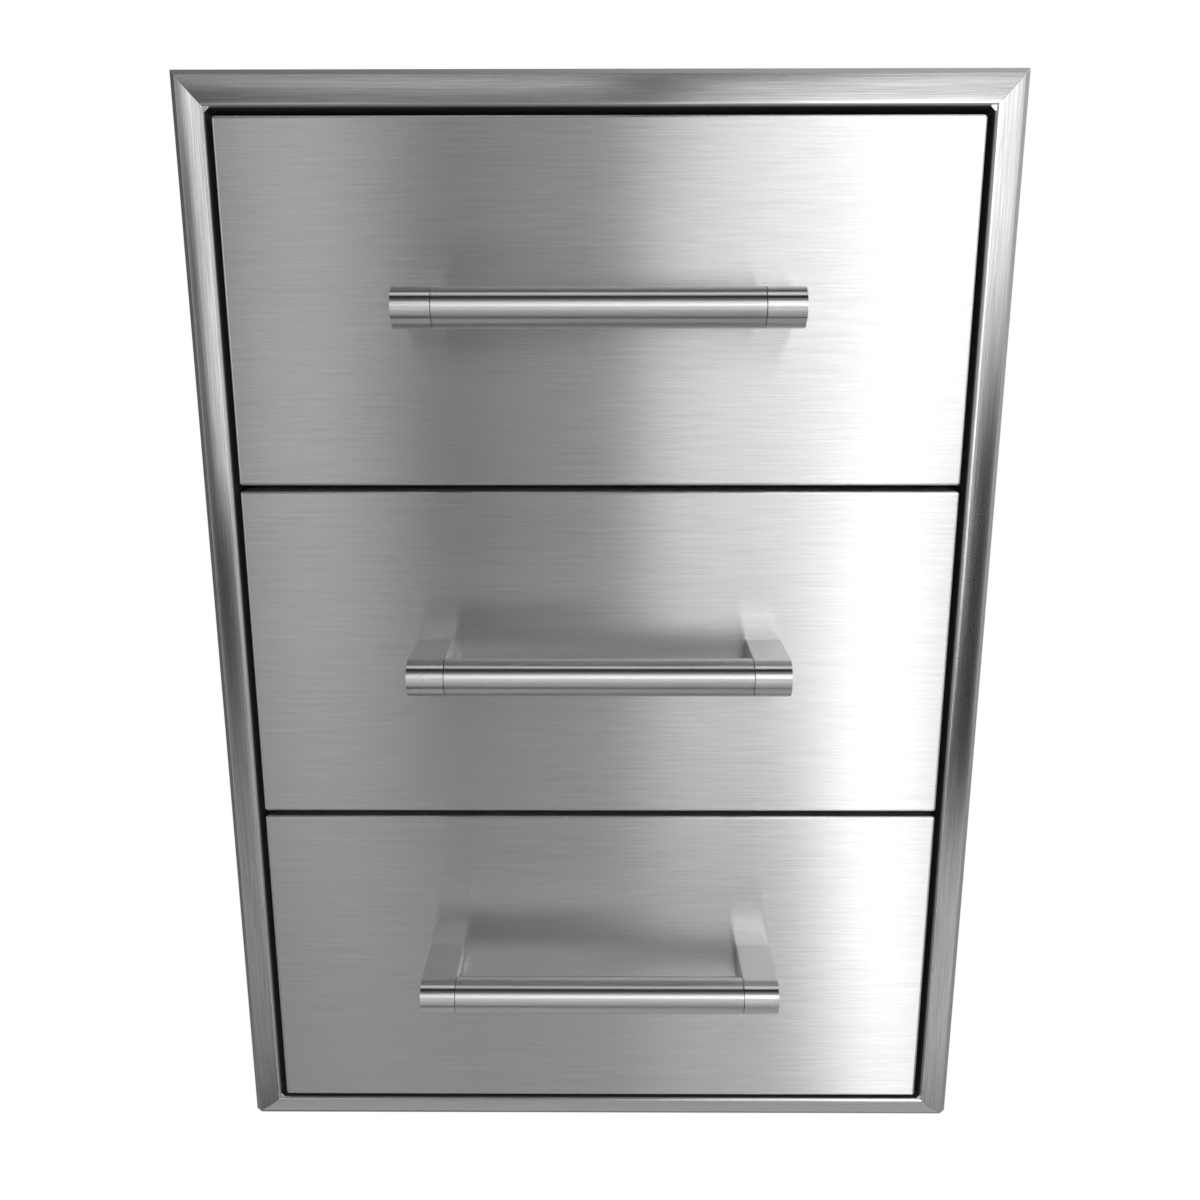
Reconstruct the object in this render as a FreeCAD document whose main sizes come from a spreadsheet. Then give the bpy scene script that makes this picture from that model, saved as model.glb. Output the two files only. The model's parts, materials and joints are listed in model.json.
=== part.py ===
"""Built-in three-drawer unit for an outdoor kitchen island, in folded stainless steel.

Millimetres. X runs to the right, Y into the island and Z up. The origin is the bottom centre
of the case on the wall plane, where the case passes through the island's cut-out.
"""
import FreeCAD
import Part
import itertools
import math
import os
import Sketcher

# Driving sizes: name, millimetres, what it is
DRIVING_SIZES = [
    ("frame_width", 432.0, "trim frame, overall width"),
    ("frame_height", 608.0, "trim frame, overall height"),
    ("trim_width", 19.7, "trim, from its outer edge to the throat face"),
    ("trim_rise", 13.4, "trim crest in front of the wall plane"),
    ("trim_lip", 2.4, "flat lip on the wall, outside the bull-nose"),
    ("trim_edge", 3.0, "outer edge of the bull-nose in front of the wall plane"),
    ("trim_curve", 35.0, "radius of the bull-nosed trim face"),
    ("trim_fold", 2.0, "outer radius of the fold into the throat"),
    ("trim_sheet", 1.5, "sheet of the trim frame"),
    ("trim_flange", 11.0, "flange that lies on the wall"),
    ("throat_depth", 24.0, "throat behind the wall plane"),
    ("corner_grind", 2.4, "ground-off corner of the trim"),
    ("case_sheet", 1.2, "sheet of the case"),
    ("case_depth", 490.0, "case behind the wall plane"),
    ("case_flange", 12.0, "welding flanges of the case"),
    ("fixing_hole", 5.5, "holes for the screws into the island"),
    ("fixing_setback", 50.0, "fixing holes behind the wall plane"),
    ("front_gap", 3.8, "drawer front to throat"),
    ("front_spacing", 3.1, "drawer front to drawer front"),
    ("front_reach", 15.5, "drawer face in front of the wall plane"),
    ("front_depth", 21.4, "drawer front, face to back"),
    ("front_sheet", 1.0, "sheet of the drawer front"),
    ("front_bend", 1.6, "outer bend radius of the drawer front"),
    ("liner_flange", 9.0, "flange of the inner wall of the front"),
    ("tray_sheet", 1.0, "sheet of the drawer tray"),
    ("tray_bend", 2.5, "outer bend radius of the tray walls"),
    ("tray_height", 146.0, "drawer tray"),
    ("tray_lift", 14.0, "tray floor above the front's lower edge"),
    ("tray_depth", 468.0, "drawer tray"),
    ("tray_rim", 9.0, "turned-in rim and floor flange of the tray walls"),
    ("slide_lift", 62.0, "slide centre above the front's lower edge"),
    ("slide_length", 450.0, "telescopic slide, closed"),
    ("slide_setback", 25.0, "slide behind the wall plane"),
    ("slide_height", 45.0, "cabinet rail"),
    ("slide_thickness", 12.7, "case wall to tray wall"),
    ("rail_sheet", 1.5, "sheet of the three rails"),
    ("rail_bend", 1.5, "outer bend radius of the cabinet and centre rails"),
    ("centre_rail_inset", 3.4, "case wall to the centre rail's web"),
    ("ball_diameter", 3.6, "balls of the slides"),
    ("ball_clearance", 0.3, "ball to raceway"),
    ("raceway_depth", 0.4, "rolled groove of a raceway"),
    ("outer_race", 6.4, "outer ball row from the case wall"),
    ("inner_race", 9.6, "inner ball row from the case wall"),
    ("race_lip", 0.5, "rail edge past its last raceway"),
    ("cabinet_rail_lip", 10.6, "cabinet rail, web face to lip"),
    ("cage_sheet", 0.8, "ball cage"),
    ("cage_width", 5.4, "ball cage"),
    ("cage_length", 140.0, "ball cage"),
    ("cage_end", 8.0, "cage end to the nearest ball"),
    ("tab_length", 8.0, "hook tabs of the rails"),
    ("tab_thickness", 1.5, "hook tabs of the rails"),
    ("tab_hook", 4.0, "hook behind the sheet"),
    ("tab_inset", 45.0, "first hook tab from the rail's front end"),
    ("tab_spacing", 320.0, "between the hook tabs of a rail"),
    ("tab_clearance", 0.2, "tab to slot"),
    ("stop_length", 6.0, "rubber stop at the rail's rear end"),
    ("stop_clearance", 0.3, "rail to rubber stop"),
    ("handle_length", 199.8, "handle, over its posts"),
    ("grip_diameter", 20.0, "handle bar"),
    ("post_width", 19.2, "handle posts, along the bar"),
    ("handle_reach", 35.7, "handle axis in front of the drawer face"),
    ("grip_seam", 0.25, "dark seam between the bar and a post"),
    ("bolt_diameter", 5.0, "bolts that hold the handle posts"),
    ("bolt_clearance", 0.1, "bolt to hole, radial"),
    ("bolt_depth", 14.0, "bolt inside its post"),
    ("bolt_head", 8.0, "bolt head across its flats"),
    ("bolt_head_height", 3.5, "bolt head"),
]

SHEET_NAME = "Sizes"
ROWS = ("lower", "middle", "upper")
SIDES = (("left", -1), ("right", 1))
CUT_MARGIN = 2.0
TINY = 1e-6

document = FreeCAD.newDocument("drawer_unit")
nodes = []


class Size:
    """A length that carries its number and the spreadsheet formula that gives it."""

    def __init__(self, number, formula):
        self.number = float(number)
        self.formula = formula

    def __float__(self):
        return self.number

    def __add__(self, other):
        other = as_size(other)
        return Size(self.number + other.number, f"({self.formula} + {other.formula})")

    def __sub__(self, other):
        other = as_size(other)
        return Size(self.number - other.number, f"({self.formula} - {other.formula})")

    def __mul__(self, other):
        other = as_size(other)
        return Size(self.number * other.number, f"({self.formula} * {other.formula})")

    def __truediv__(self, other):
        other = as_size(other)
        return Size(self.number / other.number, f"({self.formula} / {other.formula})")

    def __radd__(self, other):
        return as_size(other) + self

    def __rsub__(self, other):
        return as_size(other) - self

    def __rmul__(self, other):
        return as_size(other) * self

    def __neg__(self):
        return as_size(0) - self

    def root(self):
        return Size(math.sqrt(self.number), f"sqrt({self.formula})")


def as_size(value):
    return value if isinstance(value, Size) else Size(value, repr(float(value)))


def make_sheet():
    """The spreadsheet of driving sizes, and a Size for each of its cells."""
    sheet = document.addObject("Spreadsheet::Sheet", SHEET_NAME)
    sizes = {}
    for row, (alias, number, note) in enumerate(DRIVING_SIZES, start=1):
        sheet.set(f"A{row}", alias)
        sheet.set(f"B{row}", str(number))
        sheet.setAlias(f"B{row}", alias)
        sheet.set(f"C{row}", note)
        sizes[alias] = Size(number, f"{SHEET_NAME}.{alias}")
    document.recompute()
    return sizes


S = make_sheet()

# Places that follow from the driving sizes
HALF_WIDTH = S["frame_width"] / 2
THROAT_HALF = HALF_WIDTH - S["trim_width"]
OVERLAP = S["trim_width"] - S["trim_sheet"] - S["case_sheet"]
FRAME_LOW = -OVERLAP
FRAME_MIDDLE = FRAME_LOW + S["frame_height"] / 2
CASE_HALF = HALF_WIDTH - OVERLAP
CASE_INNER = CASE_HALF - S["case_sheet"]
CASE_HEIGHT = S["frame_height"] - 2 * OVERLAP
FRONT_HALF = THROAT_HALF - S["front_gap"]
OPENING_HEIGHT = S["frame_height"] - 2 * S["trim_width"] - 2 * S["front_gap"]
FRONT_HEIGHT = (OPENING_HEIGHT - 2 * S["front_spacing"]) / 3
ROW_PITCH = FRONT_HEIGHT + S["front_spacing"]
FACE_Y = -S["front_reach"]
FRONT_BACK_Y = FACE_Y + S["front_depth"]
TRAY_HALF = CASE_INNER - S["slide_thickness"]
TRAY_START_Y = FRONT_BACK_Y
TRAY_END_Y = TRAY_START_Y + S["tray_depth"]
RAIL_START_Y = S["slide_setback"]
RAIL_END_Y = RAIL_START_Y + S["slide_length"]
CABINET_RAIL_END_Y = RAIL_END_Y + S["stop_clearance"] + S["stop_length"]
BALL_TRACK = S["ball_diameter"] / 2 + S["ball_clearance"]
TRACK_OFFSET = BALL_TRACK - S["raceway_depth"]
RACE_HALF = (BALL_TRACK * BALL_TRACK - TRACK_OFFSET * TRACK_OFFSET).root()
CABINET_RAIL_HALF = S["slide_height"] / 2
OUTER_BALL_Z = CABINET_RAIL_HALF - S["rail_sheet"] - TRACK_OFFSET
CENTRE_RAIL_HALF = OUTER_BALL_Z - TRACK_OFFSET
INNER_BALL_Z = CENTRE_RAIL_HALF - S["rail_sheet"] - TRACK_OFFSET
DRAWER_RAIL_HALF = INNER_BALL_Z - TRACK_OFFSET
GRIP_RADIUS = S["grip_diameter"] / 2
GRIP_Y = FACE_Y - S["handle_reach"]
BOLT_HOLE = S["bolt_diameter"] + 2 * S["bolt_clearance"]


def front_low(row):
    """Lower edge of a drawer front, counted from the lowest row."""
    return FRAME_LOW + S["trim_width"] + S["front_gap"] + row * ROW_PITCH


def slide_level(row):
    return front_low(row) + S["slide_lift"]


class Bulge:
    """Stands between two points of an outline: an arc that bulges towards a direction."""

    def __init__(self, radius, toward):
        self.radius = as_size(radius)
        self.toward = toward


def vector(point):
    return FreeCAD.Vector(float(point[0]), float(point[1]), 0)


def minor_arc(start, end, bulge):
    """The minor arc over a chord, counterclockwise, and whether it runs from start to end."""
    chord = end - start
    across = FreeCAD.Vector(-chord.y, chord.x, 0).normalize()
    if across.dot(FreeCAD.Vector(*bulge.toward, 0)) < 0:
        across = -across
    radius = float(bulge.radius)
    depth = math.sqrt(max(radius**2 - (chord.Length / 2) ** 2, 0.0))
    centre = (start + end) / 2 - across * depth
    circle = Part.Circle(centre, FreeCAD.Vector(0, 0, 1), radius)
    forward = chord.cross(across).z < 0
    first, last = (start, end) if forward else (end, start)
    arc = Part.ArcOfCircle(circle, circle.parameter(first), circle.parameter(last))
    return arc, forward


def step_towards(point, other, distance):
    """Move a corner along the axis that it shares with a neighbour."""
    moved = []
    for own, far in zip(point[:2], other[:2]):
        gap = float(far) - float(own)
        if abs(gap) < TINY:
            moved.append(own)
        else:
            moved.append(own + distance if gap > 0 else own - distance)
    return tuple(moved)


def with_round_corners(outline):
    """Replace each corner that has a third value by the arc of that radius."""
    result = []
    for index, corner in enumerate(outline):
        if isinstance(corner, Bulge) or len(corner) == 2:
            result.append(corner)
            continue
        before = outline[index - 1]
        after = outline[(index + 1) % len(outline)]
        radius = as_size(corner[2])
        first = step_towards(corner, before, radius)
        last = step_towards(corner, after, radius)
        chord = vector(first) + vector(last)
        toward = vector(corner) * 2 - chord
        result += [first, Bulge(radius, (toward.x, toward.y)), last]
    return result


def pin_point(sketch, geometry, position, point):
    """Hold both coordinates of a sketch point at formulas."""
    for kind, value in zip(("DistanceX", "DistanceY"), point):
        value = as_size(value)
        rule = Sketcher.Constraint(kind, -1, 1, geometry, position, value.number)
        sketch.setExpression(f"Constraints[{sketch.addConstraint(rule)}]", value.formula)


def draw_outline(sketch, outline):
    """One closed outline of lines and arcs, every corner tied to the spreadsheet."""
    outline = with_round_corners(outline)
    corners = [item for item in outline if not isinstance(item, Bulge)]
    bulges = {}
    count = 0
    for item in outline:
        if isinstance(item, Bulge):
            bulges[count - 1] = item
        else:
            count += 1
    ends = []
    for index, corner in enumerate(corners):
        start = vector(corner)
        end = vector(corners[(index + 1) % len(corners)])
        bulge = bulges.get(index)
        if bulge is None:
            number = sketch.addGeometry(Part.LineSegment(start, end), False)
            ends.append((number, 1, 2))
            continue
        arc, forward = minor_arc(start, end, bulge)
        number = sketch.addGeometry(arc, False)
        ends.append((number, 1, 2) if forward else (number, 2, 1))
        radius = Sketcher.Constraint("Radius", number, bulge.radius.number)
        sketch.setExpression(f"Constraints[{sketch.addConstraint(radius)}]", bulge.radius.formula)
    for index, corner in enumerate(corners):
        number, first, last = ends[index]
        following = ends[(index + 1) % len(ends)]
        join = Sketcher.Constraint("Coincident", number, last, following[0], following[1])
        sketch.addConstraint(join)
        pin_point(sketch, number, first, corner)


def draw_circle(sketch, centre, diameter):
    diameter = as_size(diameter)
    circle = Part.Circle(vector(centre), FreeCAD.Vector(0, 0, 1), diameter.number / 2)
    number = sketch.addGeometry(circle, False)
    pin_point(sketch, number, 3, centre)
    size = Sketcher.Constraint("Diameter", number, diameter.number)
    sketch.setExpression(f"Constraints[{sketch.addConstraint(size)}]", diameter.formula)


def rectangle(low_x, low_y, high_x, high_y):
    return [(low_x, low_y), (high_x, low_y), (high_x, high_y), (low_x, high_y)]


def bind(item, path, value):
    item.setExpression(path, as_size(value).formula)


def make_body(label):
    """An empty body, which becomes one node."""
    body = document.addObject("PartDesign::Body", label)
    body.Label = label
    nodes.append(body)
    return body


def make_sketch(body, plane, level, outlines=(), circles=()):
    """A sketch on one of the body's origin planes, moved along that plane's normal."""
    sketch = body.newObject("Sketcher::SketchObject", f"{body.Label}_sketch")
    support = next(f for f in body.Origin.OriginFeatures if f.Role == f"{plane}_Plane")
    sketch.AttachmentSupport = [(support, "")]
    sketch.MapMode = "FlatFace"
    level = as_size(level)
    offset = FreeCAD.Vector(0, 0, level.number)
    sketch.AttachmentOffset = FreeCAD.Placement(offset, FreeCAD.Rotation())
    bind(sketch, "AttachmentOffset.Base.z", level)
    for outline in outlines:
        draw_outline(sketch, outline)
    for centre, diameter in circles:
        draw_circle(sketch, centre, diameter)
    return sketch


def pad(body, plane, low, high, outlines=(), circles=()):
    """Add material between two levels along the plane's axis."""
    low, high = as_size(low), as_size(high)
    level = -high if plane == "XZ" else low
    feature = body.newObject("PartDesign::Pad", f"{body.Label}_pad")
    feature.Profile = make_sketch(body, plane, level, outlines, circles)
    bind(feature, "Length", high - low)
    document.recompute()
    body.Tip = feature
    return feature


def pocket(body, plane, low, high, outlines=(), circles=()):
    """Cut material away between two levels along the plane's axis."""
    low, high = as_size(low), as_size(high)
    level = -low if plane == "XZ" else high
    before = body.Shape.Volume
    feature = body.newObject("PartDesign::Pocket", f"{body.Label}_pocket")
    feature.Profile = make_sketch(body, plane, level, outlines, circles)
    bind(feature, "Length", high - low)
    document.recompute()
    body.Tip = feature
    if not feature.Shape.Volume < before - TINY:
        raise RuntimeError(f"{feature.Label} cuts nothing")
    return feature


def place(item, base, turn=None):
    """Set a node's Placement, with its position tied to the spreadsheet."""
    base = [as_size(value) for value in base]
    position = FreeCAD.Vector(*[value.number for value in base])
    item.Placement = FreeCAD.Placement(position, turn or FreeCAD.Rotation())
    for axis, value in zip("xyz", base):
        bind(item, f"Placement.Base.{axis}", value)


def about_y(degrees):
    return FreeCAD.Rotation(FreeCAD.Vector(0, 1, 0), degrees)


def trim_section():
    """Section of the trim: (y, distance inwards from the outer edge)."""
    sheet, rise, fold = S["trim_sheet"], S["trim_rise"], S["trim_fold"]
    width, edge, lip = S["trim_width"], S["trim_edge"], S["trim_lip"]
    throat = S["throat_depth"]
    shoulder = width - fold
    inner_edge = edge - sheet / 2
    return [
        (as_size(0), as_size(0)),
        (-sheet, as_size(0)),
        (-sheet, lip),
        (-edge, lip),
        Bulge(S["trim_curve"], (-1, 0)),
        (-rise, shoulder),
        Bulge(fold, (-1, 1)),
        (fold - rise, width),
        (throat, width),
        (throat, width - sheet),
        (fold - rise, width - sheet),
        Bulge(fold - sheet, (-1, 1)),
        (sheet - rise, shoulder),
        Bulge(S["trim_curve"] - sheet, (-1, 0)),
        (-inner_edge, lip + sheet),
        (-sheet, lip + sheet),
        (-sheet, S["trim_flange"]),
        (as_size(0), S["trim_flange"]),
    ]


def mitre_outline(half, side):
    """What a mitred and ground corner takes off a rail's end, seen from the front."""
    grind = S["corner_grind"]
    past = S["trim_width"] + CUT_MARGIN
    return [
        (side * (half - grind - CUT_MARGIN), as_size(-CUT_MARGIN)),
        (side * (half - grind / 2), grind / 2),
        (side * (half - past), past),
        (side * (half + CUT_MARGIN), past),
        (side * (half + CUT_MARGIN), as_size(-CUT_MARGIN)),
    ]


def make_trim_rail(label, length, base, turn):
    """One mitred side of the frame, drawn as the bottom rail and turned into place."""
    rail = make_body(label)
    half = length / 2
    pad(rail, "YZ", -half, half, [trim_section()])
    cuts = [mitre_outline(half, side) for side in (-1, 1)]
    low = -(S["trim_rise"] + CUT_MARGIN)
    pocket(rail, "XZ", low, S["throat_depth"] + CUT_MARGIN, cuts)
    place(rail, base, turn)


def make_frame():
    top = FRAME_LOW + S["frame_height"]
    width, height = S["frame_width"], S["frame_height"]
    make_trim_rail("frame_bottom_rail", width, (0, 0, FRAME_LOW), about_y(0))
    make_trim_rail("frame_top_rail", width, (0, 0, top), about_y(180))
    make_trim_rail("frame_left_stile", height, (-HALF_WIDTH, 0, FRAME_MIDDLE), about_y(90))
    make_trim_rail("frame_right_stile", height, (HALF_WIDTH, 0, FRAME_MIDDLE), about_y(-90))


def tab_starts():
    """Front ends of a rail's two hook tabs."""
    first = RAIL_START_Y + S["tab_inset"]
    return (first, first + S["tab_spacing"])


def tab_slots(level):
    """Slots for the hook tabs of one rail, in the YZ plane."""
    gap = S["tab_clearance"]
    half = S["tab_thickness"] / 2 + gap
    ends = S["tab_length"] + S["tab_hook"] + gap
    return [rectangle(y - gap, level - half, y + ends, level + half) for y in tab_starts()]


def make_case_side(label, side):
    """A side wall with its rear flange, rail slots and fixing holes."""
    wall = make_body(label)
    outer, inner = side * CASE_HALF, side * CASE_INNER
    tip = side * (CASE_HALF - S["case_flange"])
    depth, sheet = S["case_depth"], S["case_sheet"]
    section = [
        (outer, as_size(0)),
        (outer, depth, sheet),
        (tip, depth),
        (tip, depth - sheet),
        (inner, depth - sheet),
        (inner, as_size(0)),
    ]
    pad(wall, "XY", 0, CASE_HEIGHT, [section])
    slots, holes = [], []
    for row in range(len(ROWS)):
        slots += tab_slots(slide_level(row))
    for row in range(len(ROWS) - 1):
        spot = (S["fixing_setback"], slide_level(row) + ROW_PITCH / 2)
        holes.append((spot, S["fixing_hole"]))
    low, high = CASE_INNER - CUT_MARGIN, CASE_HALF + CUT_MARGIN
    if side < 0:
        low, high = -high, -low
    pocket(wall, "YZ", low, high, slots, holes)


def make_case_plate(label, upper):
    """Top or bottom of the case, with welding flanges against the side walls."""
    plate = make_body(label)
    sheet = S["case_sheet"]
    low = CASE_HEIGHT - sheet if upper else as_size(0)
    flange_low = CASE_HEIGHT - S["case_flange"] if upper else as_size(0)
    floor = rectangle(-CASE_INNER, low, CASE_INNER, low + sheet)
    pad(plate, "XZ", 0, S["case_depth"] - sheet, [floor])
    flanges = []
    for _, side in SIDES:
        near, far = side * CASE_INNER, side * (CASE_INNER - sheet)
        flanges.append(rectangle(near, flange_low, far, flange_low + S["case_flange"]))
    start = S["throat_depth"] + S["case_sheet"]
    pad(plate, "XZ", start, S["case_depth"] - 2 * sheet, flanges)


def make_case_back():
    """Back panel between the top, the bottom and the rear flanges."""
    back = make_body("case_back")
    sheet = S["case_sheet"]
    panel = rectangle(-CASE_INNER, sheet, CASE_INNER, CASE_HEIGHT - sheet)
    pad(back, "XZ", S["case_depth"] - 2 * sheet, S["case_depth"] - sheet, [panel])


def make_case():
    for name, side in SIDES:
        make_case_side(f"case_{name}_side", side)
    make_case_plate("case_bottom", False)
    make_case_plate("case_top", True)
    make_case_back()


def mirrored(outline, side):
    """Turn (distance from the case wall, height) into the unit's X and the rail's height."""
    result = []
    for item in outline:
        if isinstance(item, Bulge):
            result.append(item)
        else:
            result.append((side * (CASE_INNER - item[0]),) + tuple(item[1:]))
    return result


def both_flanges(upper):
    """Complete a rail's outline with its lower half."""
    lower = []
    for item in reversed(upper):
        if isinstance(item, Bulge):
            lower.append(Bulge(item.radius, (item.toward[0], -item.toward[1])))
        else:
            lower.append((item[0], -item[1]) + tuple(item[2:]))
    return upper + lower


def groove(centre, height, start_is_near):
    """The two edges of a rolled raceway, in the order in which an outline meets them."""
    near, far = (centre - RACE_HALF, height), (centre + RACE_HALF, height)
    return (near, far) if start_is_near else (far, near)


def cabinet_rail_outline():
    """Channel that is fixed to the case wall and opens towards the drawer."""
    half, sheet, lip = CABINET_RAIL_HALF, S["rail_sheet"], S["cabinet_rail_lip"]
    inner = half - sheet
    far, near = groove(S["outer_race"], inner, False)
    upper = [
        (as_size(0), half, S["rail_bend"]),
        (lip, half),
        (lip, inner),
        far,
        Bulge(BALL_TRACK, (0, 1)),
        near,
        (sheet, inner),
    ]
    return both_flanges(upper)


def centre_rail_outline():
    """Channel that runs between the two ball rows."""
    half, sheet = CENTRE_RAIL_HALF, S["rail_sheet"]
    inner = half - sheet
    web = S["centre_rail_inset"]
    lip = S["inner_race"] + RACE_HALF + S["race_lip"]
    outer_near, outer_far = groove(S["outer_race"], half, True)
    inner_far, inner_near = groove(S["inner_race"], inner, False)
    upper = [
        (web, half, S["rail_bend"]),
        outer_near,
        Bulge(BALL_TRACK, (0, -1)),
        outer_far,
        (lip, half),
        (lip, inner),
        inner_far,
        Bulge(BALL_TRACK, (0, 1)),
        inner_near,
        (web + sheet, inner),
    ]
    return both_flanges(upper)


def drawer_rail_outline():
    """Channel that is fixed to the tray and opens towards the case wall."""
    half, sheet = DRAWER_RAIL_HALF, S["rail_sheet"]
    inner = half - sheet
    web = S["slide_thickness"]
    lip = S["inner_race"] - RACE_HALF - S["race_lip"]
    far, near = groove(S["inner_race"], half, False)
    upper = [
        (web, half),
        far,
        Bulge(BALL_TRACK, (0, -1)),
        near,
        (lip, half),
        (lip, inner),
        (web - sheet, inner),
    ]
    return both_flanges(upper)


def add_hook_tabs(rail, side, web_face, web_back, hook_sheet):
    """Hook tabs that stand out of a web, pass a slot and grip behind the sheet."""
    outwards = 1 if float(web_face) > float(web_back) else -1
    neck = web_face + outwards * (hook_sheet + S["tab_clearance"])
    hook = neck + outwards * S["tab_thickness"]
    outlines = []
    for start in tab_starts():
        end = start + S["tab_length"]
        path = [
            (web_back, start),
            (hook, start),
            (hook, end + S["tab_hook"]),
            (neck, end + S["tab_hook"]),
            (neck, end),
            (web_back, end),
        ]
        outlines.append(mirrored(path, side))
    half = S["tab_thickness"] / 2
    pad(rail, "XY", -half, half, outlines)


def make_rails(row, name, side):
    """The three members of one telescopic slide."""
    base = (0, 0, slide_level(row))
    sheet = S["rail_sheet"]
    cabinet = make_body(f"{ROWS[row]}_{name}_cabinet_rail")
    pad(cabinet, "XZ", RAIL_START_Y, CABINET_RAIL_END_Y, [mirrored(cabinet_rail_outline(), side)])
    add_hook_tabs(cabinet, side, as_size(0), sheet, S["case_sheet"])
    place(cabinet, base)
    centre = make_body(f"{ROWS[row]}_{name}_centre_rail")
    pad(centre, "XZ", RAIL_START_Y, RAIL_END_Y, [mirrored(centre_rail_outline(), side)])
    place(centre, base)
    drawer = make_body(f"{ROWS[row]}_{name}_drawer_rail")
    web = S["slide_thickness"]
    pad(drawer, "XZ", RAIL_START_Y, RAIL_END_Y, [mirrored(drawer_rail_outline(), side)])
    add_hook_tabs(drawer, side, web, web - sheet, S["tray_sheet"])
    place(drawer, base)


def add_feature(label, shape, base=(0, 0, 0)):
    """A node whose shape is set directly."""
    feature = document.addObject("Part::Feature", label)
    feature.Label = label
    feature.Shape = shape
    place(feature, base)
    nodes.append(feature)


def make_slide_stops():
    """Rubber stops at the rear ends of the cabinet rails."""
    solids = []
    sheet = float(S["rail_sheet"])
    thickness = float(S["cabinet_rail_lip"] - S["rail_sheet"])
    height = 2 * float(CABINET_RAIL_HALF - S["rail_sheet"])
    for row in range(len(ROWS)):
        for _, side in SIDES:
            near = side * (float(CASE_INNER) - sheet)
            corner = FreeCAD.Vector(
                min(near, near - side * thickness),
                float(RAIL_END_Y + S["stop_clearance"]),
                float(slide_level(row)) - height / 2,
            )
            solids.append(Part.makeBox(thickness, float(S["stop_length"]), height, corner))
    add_feature("slide_stops", Part.makeCompound(solids))


def ball_solid(radius):
    """A ball of twenty flat faces between twelve corners."""
    ratio = (1 + math.sqrt(5)) / 2
    scale = radius / math.hypot(1, ratio)
    corners = []
    for one in (-scale, scale):
        for other in (-scale * ratio, scale * ratio):
            corners.append(FreeCAD.Vector(0, one, other))
            corners.append(FreeCAD.Vector(one, other, 0))
            corners.append(FreeCAD.Vector(other, 0, one))
    faces = []
    for trio in itertools.combinations(corners, 3):
        sides = [(trio[i] - trio[i - 1]).Length for i in range(3)]
        if max(sides) < 2 * scale + TINY:
            faces.append(Part.Face(Part.makePolygon(list(trio) + [trio[0]])))
    return Part.makeSolid(Part.makeShell(faces))


def cage_solids(x, z):
    """One strip of a ball cage with its windows, and the balls in them."""
    width, sheet = float(S["cage_width"]), float(S["cage_sheet"])
    length, end = float(S["cage_length"]), float(S["cage_end"])
    start = float(RAIL_START_Y + S["slide_length"] / 2) - length / 2
    strip = Part.makeBox(width, length, sheet, FreeCAD.Vector(x - width / 2, start, z - sheet / 2))
    window = 2 * float(BALL_TRACK)
    balls = []
    for y in (start + end, start + length - end):
        corner = FreeCAD.Vector(x - window / 2, y - window / 2, z - sheet)
        strip = strip.cut(Part.makeBox(window, window, 2 * sheet, corner))
        ball = ball_solid(float(S["ball_diameter"]) / 2)
        ball.translate(FreeCAD.Vector(x, y, z))
        balls.append(ball)
    return [strip] + balls


def make_cages(row, label, race, height):
    """The ball cages of one stage: above and below, left and right."""
    solids = []
    for _, side in SIDES:
        for upright in (-1, 1):
            x = side * float(CASE_INNER - race)
            solids += cage_solids(x, upright * float(height))
    add_feature(f"{ROWS[row]}_{label}_ball_cages", Part.makeCompound(solids), (0, 0, slide_level(row)))


def fold_section(low, high, reach_low, reach_high):
    """A channel open to the back: (across, depth), face at reach_low, returns to reach_high."""
    sheet, bend = S["front_sheet"], S["front_bend"]
    return [
        (low, reach_high),
        (low, reach_low, bend),
        (high, reach_low, bend),
        (high, reach_high),
        (high - sheet, reach_high),
        (high - sheet, reach_low + sheet),
        (low + sheet, reach_low + sheet),
        (low + sheet, reach_high),
    ]


def handle_spots():
    """Handle bolts of one front: across, and up from its lower edge."""
    across = (S["handle_length"] - S["post_width"]) / 2
    return [(side * across, FRONT_HEIGHT / 2) for _, side in SIDES]


def make_front(row):
    """Folded outer skin of a drawer front, and the inner wall that closes it."""
    base = (0, 0, front_low(row))
    notch = S["front_bend"]
    skin = make_body(f"{ROWS[row]}_front_skin")
    across = fold_section(-FRONT_HALF, FRONT_HALF, FACE_Y, FRONT_BACK_Y)
    pad(skin, "XY", notch, FRONT_HEIGHT - notch, [across])
    upright = fold_section(as_size(0), FRONT_HEIGHT, FACE_Y, FRONT_BACK_Y)
    upright = [(item[1], item[0]) + tuple(item[2:]) for item in upright]
    pad(skin, "YZ", notch - FRONT_HALF, FRONT_HALF - notch, [upright])
    holes = [(spot, BOLT_HOLE) for spot in handle_spots()]
    pocket(skin, "XZ", FACE_Y, FACE_Y + S["front_sheet"], circles=holes)
    place(skin, base)
    make_liner(row, base)


def make_liner(row, base):
    liner = make_body(f"{ROWS[row]}_front_liner")
    sheet = S["front_sheet"]
    half = FRONT_HALF - sheet
    plate = rectangle(-half, sheet, half, FRONT_HEIGHT - sheet)
    start = FRONT_BACK_Y - S["liner_flange"]
    pad(liner, "XZ", start, FRONT_BACK_Y, [plate])
    hollow = rectangle(sheet - half, 2 * sheet, half - sheet, FRONT_HEIGHT - 2 * sheet)
    pocket(liner, "XZ", start, FRONT_BACK_Y - sheet, [hollow])
    place(liner, base)


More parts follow.
